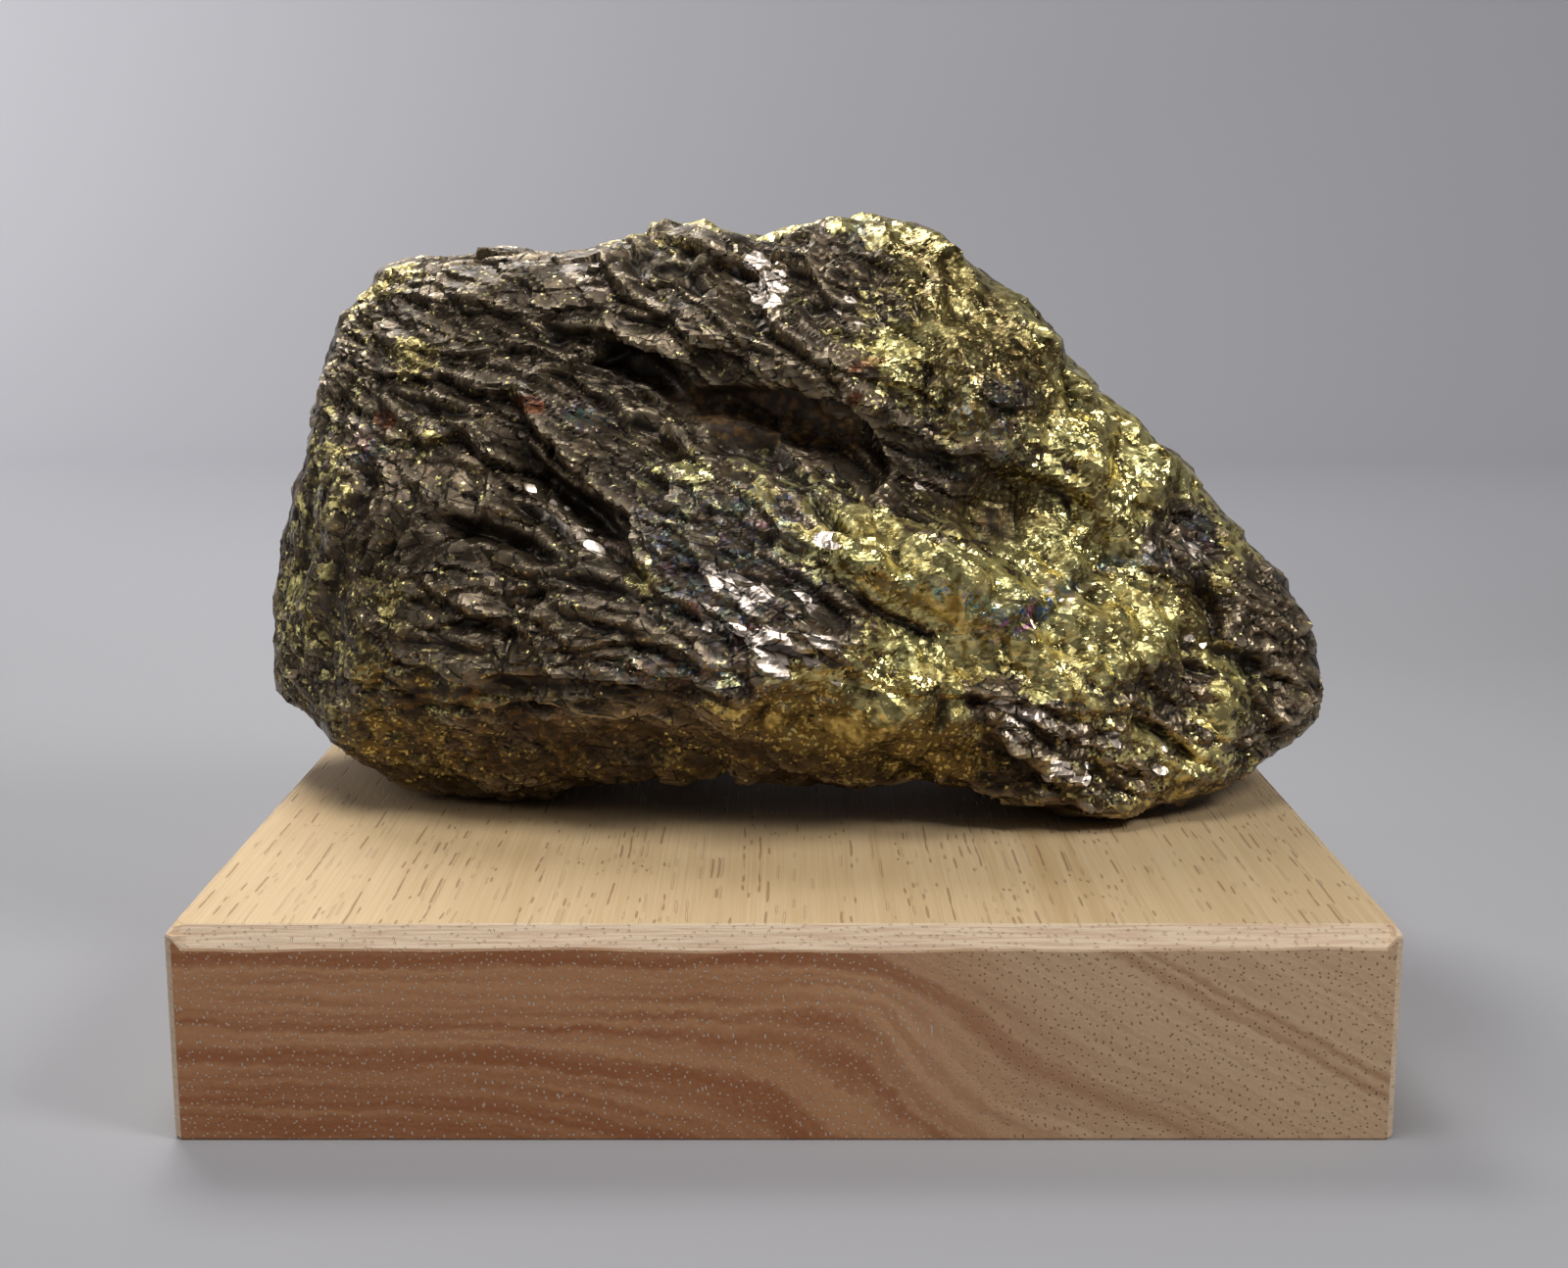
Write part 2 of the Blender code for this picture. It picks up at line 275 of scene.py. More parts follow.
# Repeatable noise: factors of its whole-number hash, and the turn of its facets
HASH_FACTORS = (0x9E3779B185EBCA87, 0xC2B2AE3D27D4EB4F, 0x165667B19E3779F9)
HASH_SEED_FACTOR = 0x27D4EB2F165667C5
HASH_MIX_FACTOR = 0xFF51AFD7ED558CCD
HASH_SHIFT = 33
FACET_TURN = np.array(((0.36, 0.48, -0.8), (-0.8, 0.6, 0.00), (0.48, 0.64, 0.6)))
CHUNK_BITS = 21


def random_triples(corners, seed):
    """Three repeatable numbers from 0 to 1 for each place."""
    mixed = np.full(len(corners), (seed + 1) * HASH_SEED_FACTOR % 2 ** 64, dtype=np.uint64)
    for axis, factor in enumerate(HASH_FACTORS):
        mixed ^= corners[:, axis].astype(np.int64).astype(np.uint64) * np.uint64(factor)
        mixed ^= mixed >> np.uint64(HASH_SHIFT)
        mixed *= np.uint64(HASH_MIX_FACTOR)
    mixed ^= mixed >> np.uint64(HASH_SHIFT)
    mask = np.uint64(2 ** CHUNK_BITS - 1)
    chunks = [(mixed >> np.uint64(CHUNK_BITS * index)) & mask for index in range(3)]
    return np.stack(chunks, axis=1).astype(float) / 2 ** CHUNK_BITS


def smooth_noise(points, size, seed):
    """Smooth noise from -1 to 1 with lumps about one size across."""
    grid = points / size
    corner = np.floor(grid).astype(np.int64)
    blend = grid - corner
    blend = blend * blend * (3.0 - 2.0 * blend)
    total = np.zeros(len(points))
    for way in itertools.product((0, 1), repeat=3):
        weight = np.prod(np.where(way, blend, 1.0 - blend), axis=1)
        total += weight * random_triples(corner + way, seed)[:, 0]
    return total * 2.0 - 1.0


def layered_noise(points, size, seed, octaves=3):
    """Smooth noise with finer and weaker noise added."""
    layers = [smooth_noise(points, size / 2 ** n, seed + n) / 2 ** n for n in range(octaves)]
    return sum(layers) / 1.5


def facet_noise(points, size, seed):
    """Noise from -1 to 1 of flat facets with sharp creases."""
    warp = np.stack([smooth_noise(points, 1.7 * size, seed + 3 + n) for n in range(3)], axis=1)
    grid = (points / size + 0.35 * warp) @ FACET_TURN
    corner = np.floor(grid).astype(np.int64)
    part = grid - corner
    order = np.argsort(-part, axis=1)
    ranked = np.take_along_axis(part, order, axis=1)
    rows = np.arange(len(points))
    total = (1.0 - ranked[:, 0]) * random_triples(corner, seed)[:, 0]
    for rank in range(3):
        corner[rows, order[:, rank]] += 1
        rest = ranked[:, rank + 1] if rank < 2 else 0.0
        total += (ranked[:, rank] - rest) * random_triples(corner, seed)[:, 0]
    return total * 2.0 - 1.0


def nearest_cells(points, seed):
    """Each point's offset from the middle of its cell, and the cell's traits."""
    home = np.floor(points).astype(np.int64)
    best = np.full(len(points), 9.0)
    offset = np.zeros_like(points)
    owner = home.copy()
    for way in itertools.product((-1, 0, 1), repeat=3):
        cell = home + way
        away = points - (cell + random_triples(cell, seed))
        distance = np.linalg.norm(away, axis=1)
        closer = distance < best
        best[closer] = distance[closer]
        offset[closer] = away[closer]
        owner[closer] = cell[closer]
    return offset, random_triples(owner, seed + 1)


# Mesh helpers

def new_item(name, data):
    """A new object in the scene."""
    item = bpy.data.objects.new(name, data)
    bpy.context.scene.collection.objects.link(item)
    return item


def new_mesh(name, shape):
    """A mesh from a finished shape."""
    mesh = bpy.data.meshes.new(name)
    shape.to_mesh(mesh)
    shape.free()
    return mesh


def read_rows(items, key, width, kind=np.float32):
    """One row of numbers for each of a mesh's points or edges."""
    values = np.empty(len(items) * width, kind)
    items.foreach_get(key, values)
    return values.reshape(-1, width)


def mesh_points(mesh):
    """The mesh's points as an array."""
    return read_rows(mesh.vertices, "co", 3).astype(float)


def move_points(mesh, points):
    """Put the mesh's points where the array says."""
    mesh.vertices.foreach_set("co", points.astype(np.float32).ravel())
    mesh.update()


def welded_copy(source):
    """A copy of a mesh whose faces share corners."""
    shape = bmesh.new()
    shape.from_mesh(source)
    bmesh.ops.remove_doubles(shape, verts=shape.verts, dist=WELD_GAP)
    return new_mesh(source.name, shape)


def remesh(item):
    """Give the object an even mesh of small quads."""
    modifier = item.modifiers.new("even", "REMESH")
    modifier.mode = "VOXEL"
    modifier.voxel_size = COARSE_VOXEL
    evaluated = item.evaluated_get(bpy.context.evaluated_depsgraph_get())
    mesh = bpy.data.meshes.new_from_object(evaluated)
    old = item.data
    item.modifiers.clear()
    item.data = mesh
    bpy.data.meshes.remove(old)


def mesh_edges(mesh):
    """The two point numbers of each of the mesh's edges."""
    return read_rows(mesh.edges, "vertices", 2, np.int64)


def spread(values, edges):
    """The sum of each point's value and its neighbours'."""
    total = values.copy()
    np.add.at(total, edges[:, 0], values[edges[:, 1]])
    np.add.at(total, edges[:, 1], values[edges[:, 0]])
    return total


def evened(values, edges, rounds=1):
    """Each point's value averaged with its neighbours'."""
    count = spread(np.ones(len(values)), edges)
    for _ in range(rounds):
        values = (spread(values, edges).T / count).T
    return values


def relaxed(points, edges, share):
    """The points drawn towards the middle of their neighbours."""
    for _ in range(RELAX_ROUNDS):
        points = points + share[:, None] * (evened(points, edges) - points)
    return points


def steep_share(push, edges):
    """1 where a point is pushed much more or less than its neighbours."""
    return smooth_step(*WALL_RISE, np.abs(evened(push, edges) - push))


def soften_normals(mesh, rounds):
    """Normals averaged with their neighbours', so that relief doesn't fold."""
    normals = read_rows(mesh.vertex_normals, "vector", 3).astype(float)
    edges = mesh_edges(mesh)
    for _ in range(rounds):
        total = spread(normals, edges)
        normals = total / np.linalg.norm(total, axis=1, keepdims=True)
    return normals


# Shapes placed on the photograph

def front_share(points, normals):
    """1 where the surface faces the camera, 0 where it turns away."""
    toward = CAMERA_PLACE - points
    toward /= np.linalg.norm(toward, axis=1, keepdims=True)
    return smooth_step(0.0, 0.3, np.sum(toward * normals, axis=1))


def survey(mesh, rounds):
    """A mesh's points, softened normals, photograph pixels and share of the front."""
    points = mesh_points(mesh)
    normals = soften_normals(mesh, rounds)
    return points, normals, photo_pixels(points), front_share(points, normals)


def ellipse_share(pixels, x, y, half_length, half_width, turn):
    """A soft elliptical spot: 1 at its middle, about a third at its rim."""
    angle = math.radians(turn)
    across, down = pixels.T - [[x], [y]]
    along = (across * math.cos(angle) + down * math.sin(angle)) / half_length
    aside = (down * math.cos(angle) - across * math.sin(angle)) / half_width
    return np.exp(-(along ** 2 + aside ** 2))


def spot_share(pixels, spots):
    """The strongest of several soft spots at each point."""
    share = np.zeros(len(pixels))
    for *ellipse, strength in spots:
        spot = strength * np.minimum(1.0, 1.6 * ellipse_share(pixels, *ellipse))
        share = np.maximum(share, spot)
    return share


def line_distance(pixels, line):
    """Distance in pixels to a line, negative above, and the share along it."""
    line = np.array(line, float)
    lengths = np.linalg.norm(np.diff(line, axis=0), axis=1)
    starts = np.concatenate(([0.0], np.cumsum(lengths)[:-1]))
    best = np.full(len(pixels), 1e9)
    signed = np.full(len(pixels), 1e9)
    along = np.zeros(len(pixels))
    for index, length in enumerate(lengths):
        way = (line[index + 1] - line[index]) / length
        reach = pixels - line[index]
        run = np.clip(reach @ way, 0.0, length)
        distance = np.linalg.norm(reach - run[:, None] * way, axis=1)
        side = np.sign(way[0] * reach[:, 1] - way[1] * reach[:, 0])
        closer = distance < best
        best = np.where(closer, distance, best)
        signed = np.where(closer, distance * side, signed)
        along = np.where(closer, (starts[index] + run) / lengths.sum(), along)
    return signed, along


def line_taper(along):
    """Full strength in the middle of a line, fading towards its ends."""
    return smooth_step(-0.12, 0.18, along) * smooth_step(-0.12, 0.18, 1.0 - along)


def ledge_push(pixels, width, depth, *line):
    """A sharp drop under a raised lip, then a ramp back out below."""
    signed, along = line_distance(pixels, line)
    steps = signed / width
    drop = smooth_step(-0.85, 0.45, steps) * (1.0 - smooth_step(0.6, 4.0, steps))
    lip = 0.28 * np.exp(-((steps + 1.6) / 1.1) ** 2)
    return depth * MM * (lip - drop) * line_taper(along)


def crack_push(pixels, width, depth, *line):
    """A groove alike on both sides."""
    signed, along = line_distance(pixels, line)
    return -depth * MM * np.exp(-(signed / width) ** 2) * line_taper(along)


def crack_share(pixels, front):
    """How deep in a placed groove each point lies, as its share of painted shade; the same share marks the
    walls to soften.
    """
    grooves = [(LEDGE_SHADE_SHIFT, *ledge) for ledge in LEDGES]
    grooves += [(0.0, *crack) for crack in CRACKS]
    share = np.zeros(len(pixels))
    for shift, width, depth, *line in grooves:
        signed, along = line_distance(pixels, line)
        steps = (signed - shift * width) / width
        dark = min(1.0, depth / FULLY_SHADED_GROOVE_DEPTH) * np.exp(-steps ** 2) * line_taper(along)
        share = np.maximum(share, dark)
    return share * front


# The stone

def layer_axes():
    """Directions along the plates, across them, and through them."""
    through = unit(LAYER_NORMAL)
    along = unit(PLATE_LONG_WAY - through * (PLATE_LONG_WAY @ through))
    return np.stack((along, np.cross(through, along), through))


def plate_push(points, level, more_lean, sizes_mm, lean, height_mm, seed):
    """Overlapping plates that lean out towards their lower edges."""
    sizes = np.array(sizes_mm) * MM
    warp = [smooth_noise(points, PLATE_WARP_SIZE, seed + 5 + axis) for axis in range(3)]
    local = (points + np.stack(warp, axis=1) * PLATE_WARP) @ layer_axes().T
    local[:, 2] -= level * LEVEL_OUT * (points[:, 0] - LEVEL_EDGE_X)
    offset, traits = nearest_cells(local / sizes, seed)
    offset = offset * sizes
    push = height_mm * MM * (traits[:, 0] - 0.5)
    push -= lean * more_lean * (0.55 + 0.9 * traits[:, 1]) * offset[:, 2]
    push += PLATE_TWIST * (traits[:, 2] - 0.5) * offset[:, 0]
    return push


def facet_push(points, size_mm, height_mm, seed):
    """Broken facets with no direction."""
    return height_mm * MM * facet_noise(points, size_mm * MM, seed)


def by_side(front, seen, hidden):
    """One value on the front and another on the hidden sides."""
    return front * seen + (1.0 - front) * hidden


def gold_share(points, pixels, front):
    """Where the ore is brassy."""
    seen = spot_share(pixels, GOLD_SPOTS) - spot_share(pixels, GOLD_GAPS)
    hidden = smooth_step(-0.1, 0.45, layered_noise(points, *HIDDEN_GOLD)) * 0.95
    return np.clip(by_side(front, seen, hidden), 0.0, 1.0)


def rough_stone():
    """The CAD stone as an even mesh, with its large hollows and swells."""
    stone = new_item("pentlandite_stone", welded_copy(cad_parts["pentlandite_rock"].data))
    modifier = stone.modifiers.new("rounder", "SUBSURF")
    modifier.levels = modifier.render_levels = 1
    remesh(stone)
    points, normals, pixels, front = survey(stone.data, rounds=6)
    push = LUMP_HEIGHT * layered_noise(points, *LUMPS)
    for *ellipse, height in DENTS:
        push += front * height * MM * ellipse_share(pixels, *ellipse)
    push += facet_push(points, *ROUGH_FACETS)
    move_points(stone.data, points + normals * push[:, None])
    remesh(stone)
    return stone


def refine_front(stone):
    """Halve the quads of the side that the photograph shows."""
    shape = bmesh.new()
    shape.from_mesh(stone.data)
    edges = set()
    for face in shape.faces:
        toward = (Vector(CAMERA_PLACE) - face.calc_center_median()).normalized()
        if face.normal.dot(toward) > FRONT_FACING:
            edges.update(face.edges)
    bmesh.ops.subdivide_edges(shape, edges=list(edges), cuts=1, use_grid_fill=True)
    bmesh.ops.triangulate(shape, faces=[face for face in shape.faces if len(face.verts) > 4])
    shape.to_mesh(stone.data)
    shape.free()


def ore_push(points, pixels, front):
    """How far the ore's plates, crumbs and facets stand out."""
    gold = gold_share(points, pixels, front)
    ore = (1.0 - 0.9 * gold) * (0.6 + 0.4 * front)
    lean = 1.0 + 0.7 * front * spot_share(pixels, LEAN_SPOTS)
    level = front * spot_share(pixels, LEVEL_SPOTS)
    patches = smooth_step(-0.05, 0.35, layered_noise(points, *CRUMB_PATCHES))
    chunky = np.maximum(0.7 * patches, front * spot_share(pixels, CHUNKY_SPOTS))
    whole = ore * (1.0 - 0.55 * chunky)
    push = whole * plate_push(points, level, lean, *LARGE_PLATES)
    push += whole * plate_push(points, level, lean, *SMALL_PLATES)
    push += ore * chunky * plate_push(points, level, 1.0, *CRUMB_PLATES)
    push += ore * chunky * facet_push(points, *CRUMB_FACETS)
    for facets, least in GOLD_FACETS:
        push += (least + (1.0 - least) * gold) * facet_push(points, *facets)
    return push


def carve_stone(stone):
    """Cut ledges, plates, cracks and crumbs into the fine mesh."""
    mesh = stone.data
    points, normals, pixels, front = survey(mesh, rounds=3)
    push = ore_push(points, pixels, front)
    for ledge in LEDGES:
        push += front * ledge_push(pixels, *ledge)
    for crack in CRACKS:
        push += front * crack_push(pixels, *crack)
    walls = crack_share(pixels, front)
    edges = mesh_edges(mesh)
    softening = STAIR_SOFTENING + LEDGE_SOFTENING * walls + WALL_SOFTENING * steep_share(push, edges)
    softening = np.minimum(softening, STAIR_SOFTENING + LEDGE_SOFTENING)
    points = relaxed(points + normals * push[:, None], edges, softening)
    block_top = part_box("wooden_block")[1][2]
    points[:, 2] = np.maximum(points[:, 2], block_top + BLOCK_CLEARANCE)
    move_points(mesh, points)
    for face in mesh.polygons:
        face.use_smooth = bool(max(walls[corner] for corner in face.vertices) > SMOOTH_SHADED_WALL)


def sunken_depth(mesh):
    """How far each point lies below its surroundings."""
    points = mesh_points(mesh)
    even = evened(points, mesh_edges(mesh), rounds=14)
    return np.sum((even - points) * soften_normals(mesh, 0), axis=1)


def paint_stone(stone):
    """Store each point's minerals, and its painted shade, glint share, brown and painted crest highlight.
    """
    mesh = stone.data
    points, normals, pixels, front = survey(mesh, rounds=10)
    gold = gold_share(points, pixels, front)
    under = smooth_step(0.15, 0.6, -normals[:, 2])
    stained = smooth_step(0.25, 0.7, layered_noise(points, *HIDDEN_RUST))
    rust = by_side(front, spot_share(pixels, RUST_SPOTS), np.maximum(0.8 * under, stained))
    filmed = smooth_step(0.3, 0.7, layered_noise(points, *HIDDEN_TARNISH))
    tarnish = by_side(front, spot_share(pixels, TARNISH_SPOTS), filmed * 0.7)
    brown = by_side(front, spot_share(pixels, BROWN_SPOTS), 0.35)
    red = front * spot_share(pixels, RED_SPOTS)
    glint = front * spot_share(pixels, GLINT_SPOTS)
    depth = sunken_depth(mesh)
    # Painted shade: points in grooves and points sunk below their surroundings are stored dark
    dark = np.maximum(crack_share(pixels, front), 0.85 * smooth_step(-0.05 * MM, 0.5 * MM, depth))
    # Painted highlight: points raised above their surroundings are stored as lit crests
    crest = smooth_step(0.1 * MM, 0.55 * MM, -depth)
    store_colours(mesh, "minerals", (gold, tarnish, rust, red))
    store_colours(mesh, "painted_light_and_brown", (dark, glint, brown, crest))


def store_colours(mesh, name, values):
    """Write four values per point as colours."""
    layer = mesh.color_attributes.new(name, "FLOAT_COLOR", "POINT")
    layer.data.foreach_set("color", np.stack(values, axis=1).astype(np.float32).ravel())


# Materials

HALF = (0.5, 0.5, 0.5)


def is_socket(value):
    """Whether a value comes from a node."""
    return isinstance(value, bpy.types.NodeSocket)


def set_inputs(node, inputs):
    """Link or set a node's inputs, given by name or number."""
    for key, value in inputs.items():
        if is_socket(value):
            node.id_data.links.new(value, node.inputs[key])
        else:
            node.inputs[key].default_value = value


def new_node(tree, kind, **settings):
    """Add a shader node with these properties."""
    node = tree.nodes.new("ShaderNode" + kind)
    for key, value in settings.items():
        setattr(node, key, value)
    return node


def after(kind, inputs, **settings):
    """Add a node after its inputs, which are given by name or in order."""
    if not isinstance(inputs, dict):
        inputs = dict(enumerate(inputs))
    tree = next(value.id_data for value in inputs.values() if is_socket(value))
    node = new_node(tree, kind, **settings)
    set_inputs(node, inputs)
    return node


def calc(operation, *numbers, clamp=False):
    """A math node's result."""
    return after("Math", numbers, operation=operation, use_clamp=clamp).outputs[0]


def times(*numbers):
    """The product of numbers."""
    return reduce(lambda first, second: calc("MULTIPLY", first, second), numbers)


def plus(first, second, clamp=False):
    """Two numbers added."""
    return calc("ADD", first, second, clamp=clamp)


def swing(value, width):
    """A pattern of 0 to 1 as a swing around 0 this wide."""
    return calc("MULTIPLY_ADD", value, width, -width / 2)


def ramp(value, low, high, to_low=0.0, to_high=1.0, kind="SMOOTHSTEP"):
    """Map a value from one range to another, held at both ends."""
    return after("MapRange", (value, low, high, to_low, to_high), interpolation_type=kind).outputs[0]


def vector_calc(operation, *vectors):
    """A vector math node's result."""
    return after("VectorMath", vectors, operation=operation).outputs[0]


def scaled(vector, scale):
    """A vector made longer or shorter."""
    return after("VectorMath", {0: vector, "Scale": scale}, operation="SCALE").outputs[0]


def mix(share, first, second, blend="MIX"):
    """Mix two colours."""
    first, second = (value if is_socket(value) else (*value, 1.0) for value in (first, second))
    inputs = {0: share, 6: first, 7: second}
    return after("Mix", inputs, data_type="RGBA", blend_type=blend).outputs[2]


def mix_number(share, first, second):
    """Mix two numbers."""
    return after("Mix", {0: share, 2: first, 3: second}, data_type="FLOAT").outputs[0]


def split(kind, value):
    """The three parts of a Color or an XYZ vector."""
    return after("Separate" + kind, [value]).outputs


def flat(across, up):
    """A place made of two numbers."""
    return after("CombineXYZ", (across, up)).outputs[0]


def noise(place, size, detail, roughness=0.55, output="Fac"):
    """Soft noise from 0 to 1 with lumps about one size across."""
    inputs = {"Vector": place, "Scale": 1.0 / size, "Detail": detail, "Roughness": roughness}
    return after("TexNoise", inputs).outputs[output]


def cells(place, size, **settings):
    """A pattern of cells about one size across."""
    return after("TexVoronoi", {"Vector": place, "Scale": 1.0 / size}, **settings).outputs


def mapped(place, scale, turn=(0.0, 0.0, 0.0)):
    """The place turned and then stretched."""
    inputs = {"Vector": place, "Rotation": turn, "Scale": scale}
    return after("Mapping", inputs, vector_type="TEXTURE").outputs[0]


def bump(height, distance):
    """The surface normal bent by a height."""
    return after("Bump", {"Height": height, "Distance": distance}).outputs["Normal"]


def object_place(tree):
    """The point's place in the object's own frame."""
    return new_node(tree, "TexCoord").outputs["Object"]


def facing(tree):
    """How far the surface faces each of the three directions."""
    return split("XYZ", new_node(tree, "NewGeometry").outputs["Normal"])


def channels(tree, name):
    """The stored values of a point: red, green, blue and alpha."""
    made = new_node(tree, "Attribute", attribute_name=name)
    return (*split("Color", made.outputs["Color"]), made.outputs["Alpha"])


def new_material(name):
    """A new material with its node tree."""
    material = bpy.data.materials.new(name)
    material.use_nodes = True
    return material


def finished(material, inputs):
    """The material with these inputs of its shader."""
    set_inputs(material.node_tree.nodes["Principled BSDF"], inputs)
    return material


# Sizes in the ore, and how its flakes lie
GRAIN = 0.42 * MM
FLAKE = 1.9 * MM
FLAKE_TURN = (0.0, math.radians(25), 0.0)
FLAKE_STRETCH = (1.8, 1.2, 0.8)
CRACKED = 3.2 * MM
CREASE = 1.5 * MM
WIDE_NOISE = 7 * MM
FINE_NOISE = 1.6 * MM
HUE_NOISE = 3.6 * MM

# For bronze and brass: how far grains and flakes tilt, and how deep the creases are
LOOSE_TILT = (0.4, 0.44)
GRAIN_TILT = (0.05, 0.11)
FLAKE_TILT = (0.18, 0.46)
CREASE_DEPTH = (0.035 * MM, 0.12 * MM)
GLINT_WAY = tuple(unit((-0.05, -0.74, 0.67)))

BRONZE_ROUGHNESS = (0.3, 0.5)
BRASS_ROUGHNESS = (0.18, 0.42)
SKIN_ROUGHNESS = 0.62
GLINT_ROUGHNESS = 0.3
BRONZE_METALLIC = 0.7
BRASS_METALLIC = 0.85
SKIN_METALLIC = 0.45

BRONZE_DARK = (0.07, 0.05, 0.03)
BRONZE_LIGHT = (0.25, 0.182, 0.112)
# Painted highlight colour for raised crests
BRONZE_PAINTED_HIGHLIGHT = (0.52, 0.41, 0.27)
BRONZE_BROWN = (0.05, 0.034, 0.02)
BRASS_DARK = (0.3, 0.225, 0.065)
BRASS_LIGHT = (0.86, 0.73, 0.3)
BRASS_GREEN = (0.6, 0.62, 0.28)
# Brown of the brass's brown spots and of its painted underside shade
BRASS_BROWN = (0.125, 0.08, 0.028)
# Pale colour of the mirror flakes, a painted highlight
PAINTED_GLINT_PALE = (0.84, 0.7, 0.58)
TARNISH_BLUE = (0.08, 0.2, 0.46)
TARNISH_TEAL = (0.16, 0.4, 0.38)
TARNISH_PURPLE = (0.38, 0.11, 0.28)
RUST_BROWN = (0.048, 0.03, 0.017)
RUST_ORANGE = (0.2, 0.105, 0.034)
RED_OXIDE = (0.17, 0.052, 0.018)
# Painted shade in grooves and hollows, and the dark of hairline cracks
SHADE_AND_CRACK_DARK = (0.022, 0.016, 0.012)


def ore_patterns(tree):
    """The stored values, cells and noise of the ore."""
    ore = SimpleNamespace()
    ore.place = object_place(tree)
    ore.gold, ore.tarnish, ore.rust, ore.red = channels(tree, "minerals")
    # Painted shade, glint share, brown, and painted crest highlight
    ore.dark, ore.glint, ore.brown, ore.crest = channels(tree, "painted_light_and_brown")
    ore.upward = facing(tree)[2]
    ore.grains = cells(ore.place, GRAIN)["Color"]
    ore.grain = split("Color", ore.grains)
    flat_way = mapped(ore.place, FLAKE_STRETCH, FLAKE_TURN)
    flakes = cells(flat_way, FLAKE)
    ore.flakes = flakes["Color"]
    ore.flake = split("Color", ore.flakes)
    ore.flake_reach = flakes["Distance"]
    ore.crack_gap = cells(flat_way, CRACKED, feature="DISTANCE_TO_EDGE")[0]
    ore.wide = noise(ore.place, WIDE_NOISE, 2.0)
    ore.fine = noise(ore.place, FINE_NOISE, 1.0)
    ore.hue = noise(ore.place, HUE_NOISE, 1.0)
    return ore


def brassy_share(ore):
    """Where the ore is brass: the stored share broken up, and single flecks."""
    share = plus(plus(ore.gold, swing(ore.fine, 0.9)), swing(ore.flake[0], 0.5))
    share = ramp(plus(share, swing(ore.grain[2], 0.4)), 0.38, 0.58)
    fleck = times(ramp(ore.grain[0], 0.95, 0.97), ramp(ore.fine, 0.42, 0.58))
    return calc("MAXIMUM", share, times(fleck, 0.9))


def brown_and_underside_shade(ore):
    """How much brown lies on the brass: from brown spots and wide noise, and as painted shade where the
    brass faces down.
    """
    # Painted shade: brass that faces down is browned as if in shadow
    down = ramp(calc("MULTIPLY_ADD", ore.fine, 0.5, ore.upward), 0.55, 0.05)
    film = plus(times(down, 0.62), ore.brown, clamp=True)
    film = ramp(plus(film, swing(ore.wide, 1.2)), 0.25, 0.85)
    return times(film, ramp(ore.grain[0], 0.77, 0.81, 0.92, 0.3))


def metal_colour(ore, brassy):
    """Bronze and brass, with a painted highlight on raised crests and painted shade on brass that faces
    down.
    """
    bronze = mix(ramp(ore.flake[1], 0.1, 1.0), BRONZE_DARK, BRONZE_LIGHT)
    bronze = mix(ramp(ore.wide, 0.4, 0.7), bronze, BRONZE_DARK)
    # Painted highlight: raised crests are lightened
    bronze = mix(times(ore.crest, 0.7), bronze, BRONZE_PAINTED_HIGHLIGHT)
    bronze = mix(times(ore.brown, 0.8), bronze, BRONZE_BROWN)
    brass = mix(ramp(ore.fine, 0.3, 0.6), BRASS_DARK, BRASS_LIGHT)
    brass = mix(times(ramp(ore.wide, 0.45, 0.65), 0.35), brass, BRASS_GREEN)
    brass = mix(brown_and_underside_shade(ore), brass, BRASS_BROWN)
    return mix(brassy, bronze, brass)


def with_tarnish(ore, colour):
    """The colour under its blue, teal and purple films."""
    sheen = mix(ramp(ore.hue, 0.36, 0.48), TARNISH_PURPLE, TARNISH_BLUE)
    sheen = mix(ramp(ore.hue, 0.5, 0.62), sheen, TARNISH_TEAL)
    share = times(ore.tarnish, ramp(ore.grain[2], 0.15, 0.6), ramp(ore.fine, 0.4, 0.56))
    return mix(share, colour, sheen)


def mirror_share(ore):
    """Which flakes shine like mirrors, short of their rims."""
    chosen = ramp(calc("MULTIPLY_ADD", ore.glint, 0.6, ore.flake[2]), 0.94, 0.98)
    return times(chosen, ramp(ore.glint, 0.1, 0.35), ramp(ore.flake_reach, 0.8, 0.73))


def with_painted_shade_and_cracks(ore, colour, brassy, rusty):
    """The colour with painted shade in grooves and sunken places, and the dark of hairline cracks."""
    # Painted shade where the stored dark is, weaker on the rusty skin
    painted_cleft_shade = times(ramp(ore.dark, 0.3, 0.95), mix_number(rusty, 0.88, 0.25))
    hairline = times(ramp(ore.crack_gap, 0.055, 0.01), ramp(ore.fine, 0.38, 0.52))
    bare = ramp(calc("MAXIMUM", brassy, rusty), 1.0, 0.0)
    return mix(calc("MAXIMUM", painted_cleft_shade, times(hairline, bare)), colour, SHADE_AND_CRACK_DARK)


def ore_roughness(ore, brassy, rusty, mirror):
    """A gloss for each flake, and a dull rusty skin."""
    bronze = ramp(ore.flake[0], 0.0, 1.0, *BRONZE_ROUGHNESS)
    brass = ramp(ore.flake[0], 0.0, 1.0, *BRASS_ROUGHNESS)
    rough = mix_number(rusty, mix_number(brassy, bronze, brass), SKIN_ROUGHNESS)
    return mix_number(mirror, rough, GLINT_ROUGHNESS)


